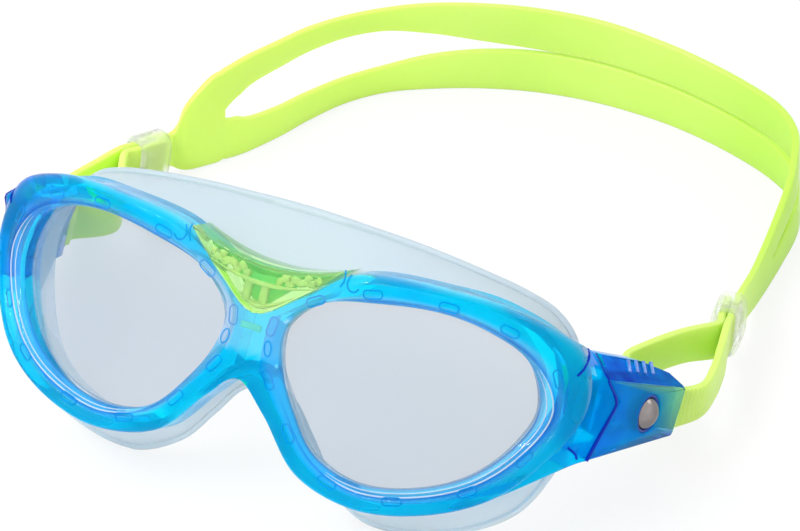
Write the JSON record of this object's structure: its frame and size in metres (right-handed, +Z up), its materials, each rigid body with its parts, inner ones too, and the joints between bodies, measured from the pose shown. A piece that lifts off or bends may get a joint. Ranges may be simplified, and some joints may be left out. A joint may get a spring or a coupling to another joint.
{
  "type": "swim goggles",
  "caption": "Child's swim goggles: wide curved frame with clear lenses, soft face skirt, hinged push-button buckles, sliding keepers and a split head strap.",
  "frame": {"origin": "on the table under the middle of the part's box", "axes": "+X to the wearer's left, +Y from the lenses back to the strap, +Z up from the table"},
  "size_m": [0.1722, 0.1934, 0.0612],
  "materials": {
    "frame_blue": "clear tinted polycarbonate, glossy",
    "lens_clear": "clear polycarbonate, polished",
    "skirt_silicone": "translucent soft silicone",
    "clip_green": "clear tinted plastic",
    "strap_green": "satin silicone",
    "buckle_blue": "clear tinted polycarbonate, glossy",
    "button_pewter": "satin metallic paint",
    "pawl_plastic": "moulded acetal",
    "pin_steel": "drawn wire",
    "spring_steel": "rolled strip",
    "keeper_clear": "cloudy clear plastic"
  },
  "bodies": {
    "mask": {"front_frame": "frame_blue", "lens_left": "lens_clear", "lens_right": "lens_clear", "face_skirt": "skirt_silicone", "bridge_clip": "clip_green", "side_arm_left": "frame_blue", "side_arm_right": "frame_blue", "hinge_pin_left": "pin_steel", "hinge_pin_right": "pin_steel", "head_strap": "strap_green"},
    "buckle_left": {"buckle_cover_left": "buckle_blue", "buckle_base_left": "buckle_blue", "pawl_pin_left": "pin_steel", "pawl_spring_left": "spring_steel"},
    "button_left": {"button_left": "button_pewter"},
    "pawl_left": {"pawl_left": "pawl_plastic"},
    "keeper_left": {"strap_keeper_left": "keeper_clear"},
    "buckle_right": {"buckle_cover_right": "buckle_blue", "buckle_base_right": "buckle_blue", "pawl_pin_right": "pin_steel", "pawl_spring_right": "spring_steel"},
    "button_right": {"button_right": "button_pewter"},
    "pawl_right": {"pawl_right": "pawl_plastic"},
    "keeper_right": {"strap_keeper_right": "keeper_clear"}
  },
  "joints": [
    {"name": "buckle_left_swing", "type": "hinge", "parent": "mask", "child": "buckle_left", "pos_m": [0.07301, -0.05249, 0.02829], "axis": [0, 0.4818, 0.8763], "range_deg": [0, 20], "deforming": ["head_strap"]},
    {"name": "button_left_press", "type": "slide", "parent": "buckle_left", "child": "button_left", "axis": [-0.9799, 0.1747, -0.096], "range_m": [0, 0.0012], "stiffness_N_per_m": 600},
    {"name": "pawl_left_turn", "type": "hinge", "parent": "buckle_left", "child": "pawl_left", "pos_m": [0.07332, -0.04807, 0.02587], "axis": [0, 0.4818, 0.8763], "range_deg": [0, 13.5], "deforming": ["pawl_spring_left"]},
    {"name": "keeper_left_slide", "type": "slide", "parent": "mask", "child": "keeper_left", "axis": [-0.1879, 0.9667, -0.1736], "range_m": [-0.003, 0.003]},
    {"name": "buckle_right_swing", "type": "hinge", "parent": "mask", "child": "buckle_right", "pos_m": [-0.07301, -0.05249, 0.02829], "axis": [0, -0.4818, -0.8763], "range_deg": [0, 20], "deforming": ["head_strap"]},
    {"name": "button_right_press", "type": "slide", "parent": "buckle_right", "child": "button_right", "axis": [0.9799, 0.1747, -0.096], "range_m": [0, 0.0012], "stiffness_N_per_m": 600},
    {"name": "pawl_right_turn", "type": "hinge", "parent": "buckle_right", "child": "pawl_right", "pos_m": [-0.07332, -0.04807, 0.02587], "axis": [0, -0.4818, -0.8763], "range_deg": [0, 13.5], "deforming": ["pawl_spring_right"]},
    {"name": "keeper_right_slide", "type": "slide", "parent": "mask", "child": "keeper_right", "axis": [0.3689, 0.9131, -0.1736], "range_m": [-0.003, 0.003]}
  ],
  "couplings": [
    {"joint": "pawl_left_turn", "follows": "button_left_press", "rad_per_m": 196.35},
    {"joint": "pawl_right_turn", "follows": "button_right_press", "rad_per_m": 196.35}
  ]
}
